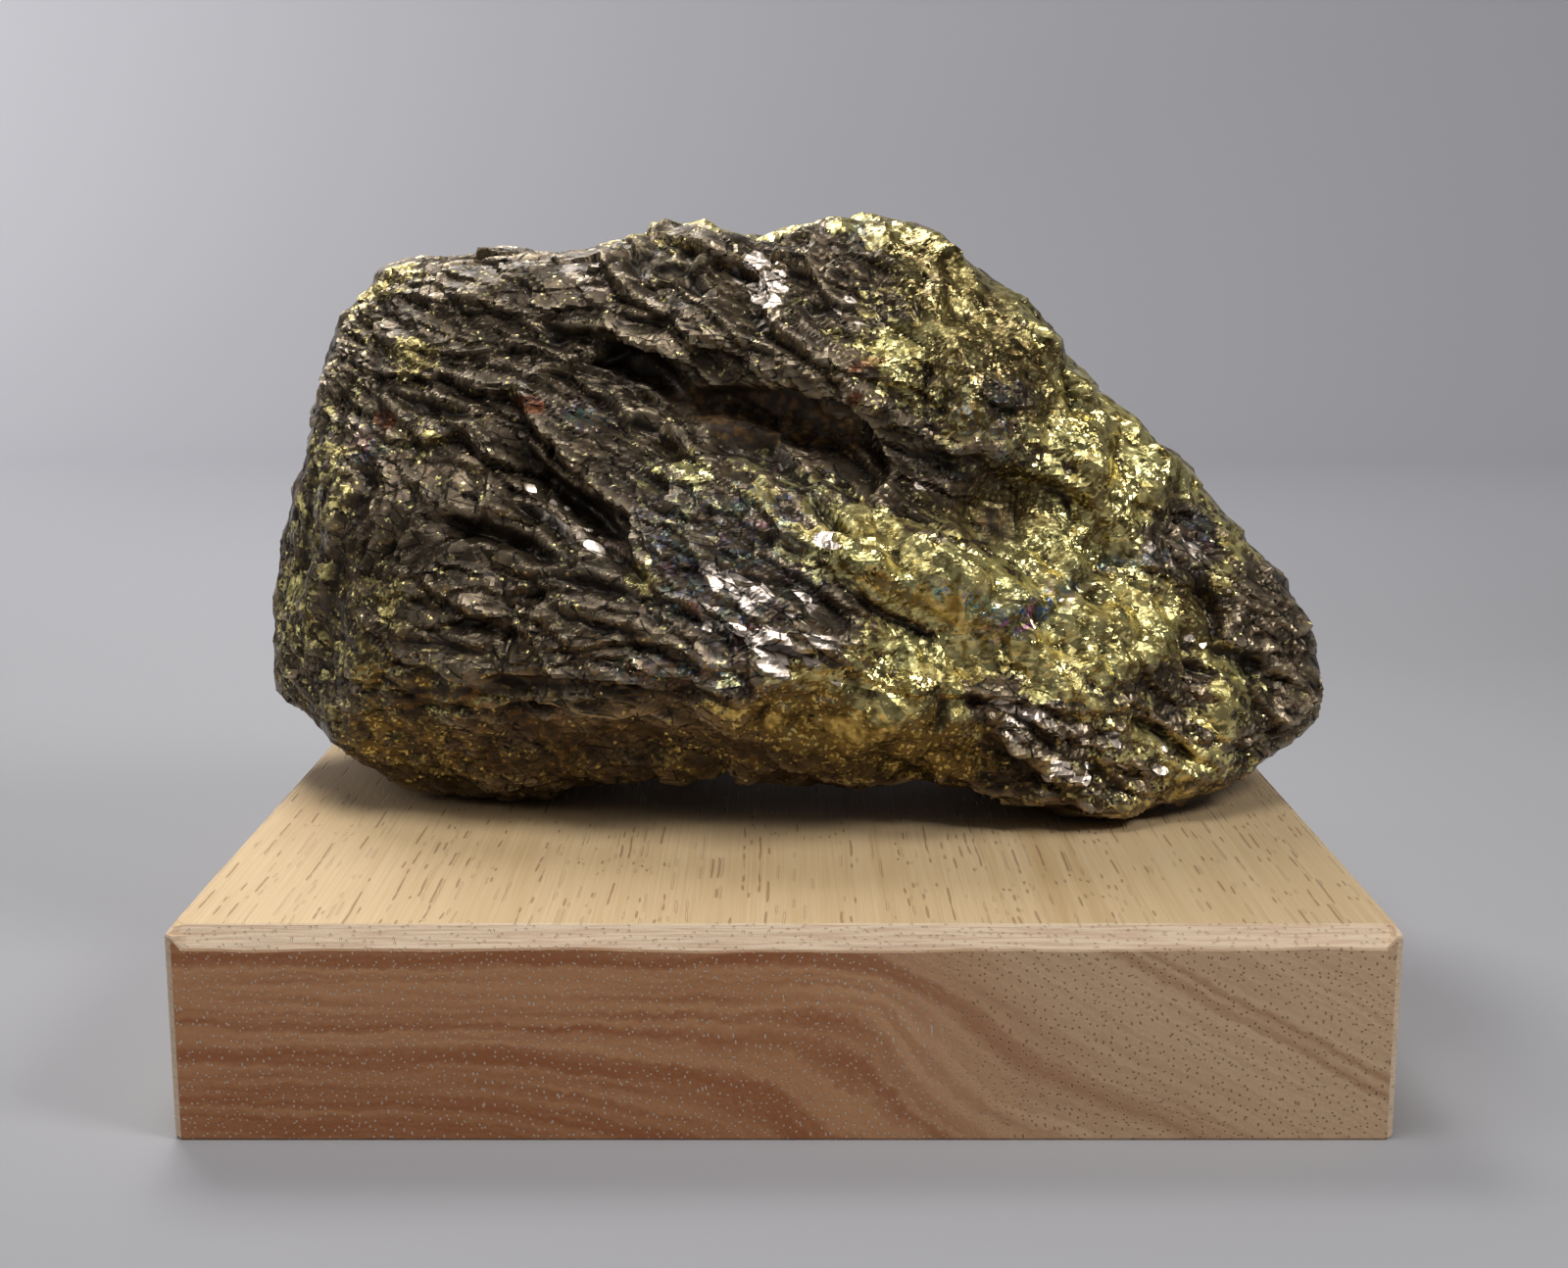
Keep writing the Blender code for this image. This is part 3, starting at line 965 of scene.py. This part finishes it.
def ore_normal(ore, brassy, mirror):
    """Crumpled creases, grains and flakes leaning their own ways, mirrors turned to the light."""
    folds = noise(ore.place, CREASE, 1.0, 0.5)
    creases = calc("ABSOLUTE", calc("MULTIPLY_ADD", folds, 2.0, -1.0))
    normal = bump(times(creases, mix_number(ore.gold, *CREASE_DEPTH)), 1.0)
    loose_tilt = times(mix_number(brassy, *LOOSE_TILT), ramp(ore.hue, 0.4, 0.6, 0.15, 1.0))
    loose = ramp(ore.grain[1], 0.76, 0.84)
    grain_tilt = calc("MULTIPLY_ADD", loose, loose_tilt, mix_number(brassy, *GRAIN_TILT))
    flake_tilt = mix_number(brassy, *FLAKE_TILT)
    for pattern, tilt in ((ore.grains, grain_tilt), (ore.flakes, flake_tilt)):
        lean = vector_calc("SUBTRACT", pattern, HALF)
        normal = vector_calc("ADD", normal, scaled(lean, tilt))
    pull = times(mirror, calc("MULTIPLY_ADD", ore.flake[1], 3.2, 0.5))
    normal = vector_calc("ADD", normal, scaled(GLINT_WAY, pull))
    return vector_calc("NORMALIZE", normal)


def stone_material():
    """Sulfide ore: bronze plates, brassy grains, tarnish films and rusty skins, with painted shade in
    grooves and on downward brass, and painted highlights on crests and mirror flakes.
    """
    material = new_material("sulfide_ore_surface")
    ore = ore_patterns(material.node_tree)
    brassy = brassy_share(ore)
    mirror = mirror_share(ore)
    # Mirror flakes get a pale colour as a painted highlight, besides their normals turned to the lamp
    colour = mix(mirror, with_tarnish(ore, metal_colour(ore, brassy)), PAINTED_GLINT_PALE)
    skin = mix(ramp(ore.fine, 0.42, 0.72), RUST_BROWN, RUST_ORANGE)
    rusty = ramp(plus(ore.rust, swing(ore.wide, 1.4)), 0.35, 0.85)
    colour = mix(rusty, colour, skin)
    red_share = ramp(calc("MULTIPLY_ADD", ore.fine, 0.8, ore.red), 0.75, 1.05)
    colour = mix(times(red_share, 0.85), colour, RED_OXIDE)
    metallic = mix_number(brassy, BRONZE_METALLIC, BRASS_METALLIC)
    return finished(material, {
        "Base Color": with_painted_shade_and_cracks(ore, colour, brassy, rusty),
        "Metallic": mix_number(rusty, metallic, SKIN_METALLIC),
        "Roughness": ore_roughness(ore, brassy, rusty, mirror),
        "Normal": ore_normal(ore, brassy, mirror),
    })


# Growth rings over the end grain: millimetres along the ring field, and how dark, 0 to 1
RING_TONES = (
    (0.0, 0.8), (3.0, 0.85), (4.0, 0.62), (5.2, 0.92), (7.2, 0.72), (8.8, 0.6), (10.0, 0.68), (10.9, 1.00),
    (11.9, 0.85), (12.8, 0.4), (13.9, 0.45), (15.0, 0.92), (15.7, 0.45), (16.4, 0.72), (17.2, 0.4),
    (18.4, 0.55), (19.4, 0.34), (20.8, 0.48), (21.8, 0.38), (23.1, 1.00), (24.3, 0.78), (25.4, 0.48),
    (26.4, 0.62), (27.4, 0.42), (30.0, 0.48), (32.0, 0.3), (38.6, 0.3), (40.6, 0.85), (41.4, 0.34),
    (42.3, 0.9), (43.5, 0.3), (64.0, 0.34),
)
RING_FIELD_END = 64.0
# The rings are level on the left, the low ones arched, and fall past a knee; millimetres
RING_KNEE_X = 10.0
RING_KNEE_SOFT = 8.0
RING_SLOPE = 0.54
ARCH_TOP_X = -60.0
ARCH_REACH = 66.0
ARCH_RADIUS = 184.0
ARCH_HEIGHT = 17.0
ARCH_FADE = (58.0, 5.0)
PORE_GAP = 1.05
FIBRE_RELIEF = 0.06
PORE_RELIEF = 0.12
CUT_RELIEF = 0.12
WOOD_ROUGHNESS = (0.62, 0.5)
WOOD_SPECULAR = 0.35
END_LEFT_PALE = (0.74, 0.4, 0.195)
END_LEFT_DARK = (0.42, 0.15, 0.055)
END_RIGHT_PALE = (0.86, 0.6, 0.37)
END_RIGHT_DARK = (0.54, 0.3, 0.16)
PORE_PALE = (0.84, 0.66, 0.5)
PORE_DARK = (0.2, 0.085, 0.035)
TOP_PORE = (0.34, 0.16, 0.06)
TOP_PALE = (0.82, 0.605, 0.35)
TOP_DARK = (0.62, 0.4, 0.175)
CUT_PALE = (0.86, 0.66, 0.46)
CUT_DARK = (0.72, 0.5, 0.33)


def ring_field(across, up):
    """How far a point lies along the growth rings, in millimetres."""
    knee = calc("SMOOTH_MAX", calc("SUBTRACT", across, RING_KNEE_X), 0.0, RING_KNEE_SOFT)
    reach = calc("MINIMUM", calc("MAXIMUM", calc("SUBTRACT", across, ARCH_TOP_X), 0.0), ARCH_REACH)
    arch = calc("DIVIDE", times(reach, reach), 2.0 * ARCH_RADIUS)
    arch = times(arch, ramp(up, ARCH_HEIGHT, 0.0, kind="LINEAR"), ramp(across, *ARCH_FADE))
    return plus(calc("MULTIPLY_ADD", knee, RING_SLOPE, up), arch)


def ring_tone(field):
    """Darkness of the growth rings along their field."""
    made = after("ValToRGB", [calc("DIVIDE", field, RING_FIELD_END)])
    made.color_ramp.interpolation = "EASE"
    elements = made.color_ramp.elements
    while len(elements) < len(RING_TONES):
        elements.new(1.0)
    for element, (place, tone) in zip(elements, RING_TONES):
        element.position = place / RING_FIELD_END
        element.color = (tone, tone, tone, 1.0)
    return made.outputs[0]


def wood_patterns(tree):
    """The place in millimetres, and the rings and fibres."""
    place = scaled(object_place(tree), 1.0 / MM)
    across, _, up = split("XYZ", place)
    straight = mapped(place, (1.0, 14.0, 1.0))
    wobble = swing(noise(straight, 9.0, 3.0), 2.2)
    ripple = swing(noise(straight, 1.3, 2.0), 1.2)
    field = plus(ring_field(across, up), plus(wobble, ripple))
    thin_lines = noise(flat(field, times(across, 0.04)), 0.9, 2.0)
    tone = plus(ring_tone(field), swing(thin_lines, 1.2))
    fibre = noise(mapped(place, (0.35, 30.0, 0.35)), 1.0, 4.0)
    tone = plus(tone, swing(fibre, 0.5), clamp=True)
    return SimpleNamespace(place=place, across=across, field=field, tone=tone, fibre=fibre)


def wood_faces(tree):
    """The shares of end grain and of the chamfers."""
    sideways, endways, upwards = facing(tree)
    end_grain = ramp(calc("ABSOLUTE", endways), 0.8, 0.95)
    others = plus(ramp(calc("ABSOLUTE", sideways), 0.8, 0.95), ramp(upwards, 0.85, 0.97))
    return end_grain, calc("SUBTRACT", calc("SUBTRACT", 1.0, end_grain), others, clamp=True)


def wood_pores(wood):
    """The pores, their rims, and a random number for each."""
    sway = noise(mapped(wood.place, (12.0, 22.0, 12.0)), 1.0, 2.0, 0.5, output="Color")
    bent = vector_calc("MULTIPLY", vector_calc("SUBTRACT", sway, HALF), (1.0, 0.0, 7.0))
    across, _, up = split("XYZ", vector_calc("ADD", wood.place, bent))
    holes = cells(flat(across, up), PORE_GAP, voronoi_dimensions="2D")
    pore = ramp(holes["Distance"], 0.17, 0.1)
    rim = calc("SUBTRACT", ramp(holes["Distance"], 0.3, 0.18), pore, clamp=True)
    return pore, rim, split("Color", holes["Color"])[0]


def end_colour(wood, pore, rim):
    """Rings, with pale pores on the left and dark ones on the right."""
    right = ramp(plus(wood.across, times(wood.field, 0.6)), 10.0, 60.0)
    pale = mix(right, END_LEFT_PALE, END_RIGHT_PALE)
    dark = mix(right, END_LEFT_DARK, END_RIGHT_DARK)
    colour = mix(wood.tone, pale, dark)
    colour = mix(times(pore, ramp(right, 0.7, 0.2), 0.78), colour, PORE_PALE)
    colour = mix(times(pore, ramp(right, 0.3, 0.8), 0.55), colour, PORE_DARK)
    return mix(times(rim, times(right, 0.35)), colour, END_RIGHT_PALE)


def top_colour(wood, pore, chance):
    """Straight fibres, with some of the pores as short lines, and painted light and shade: lighter on the
    left, darker towards the right.
    """
    fibres = calc("MULTIPLY_ADD", wood.fibre, 0.8, -0.35)
    tone = calc("MULTIPLY_ADD", wood.tone, 0.6, fibres, clamp=True)
    # Painted light and shade: the top is lightened on the left and darkened towards the right
    painted_light_falloff = ramp(wood.across, -70.0, 70.0, 1.08, 0.8, kind="LINEAR")
    colour = mix(1.0, mix(tone, TOP_PALE, TOP_DARK), painted_light_falloff, "MULTIPLY")
    lines = times(pore, ramp(chance, 0.55, 0.6))
    return mix(times(lines, 0.55), colour, TOP_PORE)


def wood_material():
    """Open-pored wood with its grain running from front to back."""
    material = new_material("display_block_wood")
    wood = wood_patterns(material.node_tree)
    end_grain, cut = wood_faces(material.node_tree)
    pore, rim, chance = wood_pores(wood)
    streak = noise(mapped(wood.place, (9.0, 1.0, 0.3)), 1.0, 3.0)
    colour = mix(end_grain, top_colour(wood, pore, chance), end_colour(wood, pore, rim))
    colour = mix(cut, colour, mix(ramp(streak, 0.4, 0.66), CUT_PALE, CUT_DARK))
    worn_edge = ramp(calc("ABSOLUTE", wood.across), 74.2, 74.7)
    colour = mix(times(worn_edge, 0.35), colour, CUT_PALE)
    height = calc("SUBTRACT", times(wood.fibre, FIBRE_RELIEF), times(pore, PORE_RELIEF))
    height = calc("SUBTRACT", height, times(times(streak, cut), CUT_RELIEF))
    return finished(material, {
        "Base Color": colour,
        "Roughness": ramp(wood.tone, 0.0, 1.0, *WOOD_ROUGHNESS),
        "Specular IOR Level": WOOD_SPECULAR,
        "Normal": bump(height, MM),
    })


# The wooden block, in millimetres: half width, height, and its worked edges
BLOCK_HALF = 75.0
BLOCK_TOP = 27.0
END_CHAMFER = 2.6
SIDE_CHAMFER = 1.0
CORNER_CUT = 0.9
EDGE_SOFT = 0.14
EDGE_STEP = 1.25
EDGE_WAVE = 0.45
EDGE_WAVES = (13.0, 83)
CORNER_POINTS = 2


def block_ring(inset_side, inset_end, level, wave):
    """Points around the block at one level, with a wave."""
    half_x = BLOCK_HALF - inset_side
    half_y = BLOCK_HALF - inset_end
    near_x = half_x - CORNER_CUT
    near_y = half_y - CORNER_CUT
    corners = (
        (half_x, -near_y), (half_x, near_y), (near_x, half_y), (-near_x, half_y),
        (-half_x, near_y), (-half_x, -near_y), (-near_x, -half_y), (near_x, -half_y),
    )
    corners = np.array(corners)
    long_count = int(2 * BLOCK_HALF / EDGE_STEP)
    sides = []
    for index, (start, end) in enumerate(zip(corners, np.roll(corners, -1, axis=0))):
        count = CORNER_POINTS if index % 2 else long_count
        sides.append(start + (end - start) * (np.arange(count) / count)[:, None])
    ring = np.vstack(sides)
    ring = np.column_stack((ring, np.full(len(ring), level)))
    ring[:, 2] += wave * layered_noise(ring * (1.0, 1.0, 0.0), *EDGE_WAVES)
    return ring * MM


def block_rings():
    """The block's level rings from its underside up."""
    soft = EDGE_SOFT
    shoulder = BLOCK_TOP - END_CHAMFER
    side_shoulder = BLOCK_TOP - SIDE_CHAMFER
    rows = (
        (0.35, 0.35, 0.0, 0.0), (0.1, 0.1, 0.1, 0.0), (0.0, 0.0, 0.35, 0.0),
        (0.0, 0.0, shoulder - soft, EDGE_WAVE),
        (soft / 2, soft, shoulder + soft, EDGE_WAVE),
        (SIDE_CHAMFER * 0.5, END_CHAMFER * 0.55, BLOCK_TOP - END_CHAMFER * 0.45, 0.1),
        (SIDE_CHAMFER - soft, END_CHAMFER - soft, BLOCK_TOP - soft, 0.0),
        (SIDE_CHAMFER + soft, END_CHAMFER + soft, BLOCK_TOP, 0.0),
    )
    rings = [block_ring(*row) for row in rows]
    for ring in rings[3:6]:
        on_side = np.abs(ring[:, 0]) > (BLOCK_HALF - SIDE_CHAMFER) * MM
        raised = ring[on_side, 2] + (side_shoulder - shoulder) * MM
        ring[on_side, 2] = np.minimum(raised, (BLOCK_TOP - soft) * MM)
    return rings


def make_block():
    """The block as one closed mesh in place of its CAD node."""
    shape = bmesh.new()
    rows = [[shape.verts.new(point) for point in ring] for ring in block_rings()]
    count = len(rows[0])
    for lower, upper in zip(rows, rows[1:]):
        for index in range(count):
            beside = (index + 1) % count
            shape.faces.new((lower[index], lower[beside], upper[beside], upper[index]))
    shape.faces.new(rows[-1])
    shape.faces.new(list(reversed(rows[0])))
    mesh = new_mesh("display_block", shape)
    mesh.materials.append(wood_material())
    block = new_item("display_block", mesh)
    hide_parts("wooden_block")
    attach(block, BODY)


def make_stone():
    """The stone as one detailed piece in place of its CAD node."""
    stone = rough_stone()
    refine_front(stone)
    carve_stone(stone)
    paint_stone(stone)
    stone.data.materials.append(stone_material())
    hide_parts("pentlandite_rock")
    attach(stone, BODY)


# Stage

# Paper tones: painted shade near the camera, painted light far off
PAPER_LOW = (0.42, 0.415, 0.43)
PAPER_HIGH = (0.6, 0.59, 0.62)
PAPER_ROUGHNESS = 0.85
PAPER_FADE = (0.2, 0.75)
# The sweep in metres
SWEEP_HALF = 2.2
SWEEP_START = 0.72
SWEEP_BEND = 0.28
SWEEP_STEPS = 14
SWEEP_HEIGHT = 1.5

MIDDLE = (0.0, 0.0, 0.04)
# Lamps: place, the point that it looks at, size in metres, power in watts
LAMPS = {
    "behind_left": ((-0.16, 0.26, 0.48), MIDDLE, 0.24, 1.58),
    "overhead": ((-0.05, -0.14, 0.56), MIDDLE, 0.2, 1.00),
    "right": ((0.36, -0.25, 0.42), MIDDLE, 0.16, 1.08),
    "left": ((-0.42, -0.16, 0.34), MIDDLE, 0.26, 0.31),
    "backdrop_left": ((-0.85, 0.35, 0.6), (-0.6, 1.35, 0.36), 0.8, 7.0),
    "backdrop_right": ((0.6, 0.35, 0.6), (0.6, 1.35, 0.4), 0.8, 1.3),
}
# The room's own light: strength on the model and in the camera's view, and colour
ROOM_LIGHT = (0.06, 0.45)
ROOM_COLOUR = (0.85, 0.9, 1.0, 1.0)


def paper_material():
    """Pale paper with painted light and shade: darker near the camera, lighter far off."""
    material = new_material("pale_paper")
    painted_far_light_share = ramp(split("XYZ", object_place(material.node_tree))[1], *PAPER_FADE)
    paper = mix(painted_far_light_share, PAPER_LOW, PAPER_HIGH)
    return finished(material, {"Base Color": paper, "Roughness": PAPER_ROUGHNESS})


def make_stage():
    """A pale floor that sweeps up into a plain backdrop."""
    profile = [(-SWEEP_HALF, 0.0)]
    for index in range(SWEEP_STEPS + 1):
        angle = math.pi / 2 * index / SWEEP_STEPS
        bend_y = SWEEP_START + SWEEP_BEND * math.sin(angle)
        profile.append((bend_y, SWEEP_BEND * (1 - math.cos(angle))))
    profile.append((SWEEP_START + SWEEP_BEND, SWEEP_HEIGHT))
    shape = bmesh.new()
    rows = [[shape.verts.new((side, y, z)) for y, z in profile] for side in (-SWEEP_HALF, SWEEP_HALF)]
    for index in range(len(profile) - 1):
        shape.faces.new((rows[0][index], rows[1][index], rows[1][index + 1], rows[0][index + 1]))
    mesh = new_mesh("sweep", shape)
    mesh.shade_smooth()
    mesh.materials.append(paper_material())
    new_item("sweep", mesh)


def make_lights():
    """Square soft lamps as the photograph's shadows tell them, and a dim room."""
    for name, (place, target, size, power) in LAMPS.items():
        data = bpy.data.lights.new(name, "AREA")
        data.size = size
        data.energy = power
        lamp = new_item(name, data)
        lamp.location = place
        lamp.rotation_euler = (Vector(target) - Vector(place)).to_track_quat("-Z", "Y").to_euler()
    world = bpy.data.worlds.new("room")
    world.use_nodes = True
    seen = new_node(world.node_tree, "LightPath").outputs["Is Camera Ray"]
    strength = ramp(seen, 0.0, 1.0, *ROOM_LIGHT, kind="LINEAR")
    set_inputs(world.node_tree.nodes["Background"], {"Color": ROOM_COLOUR, "Strength": strength})
    bpy.context.scene.world = world


make_camera()
make_stone()
make_block()
make_stage()
make_lights()
bpy.context.scene.view_settings.view_transform = "Standard"
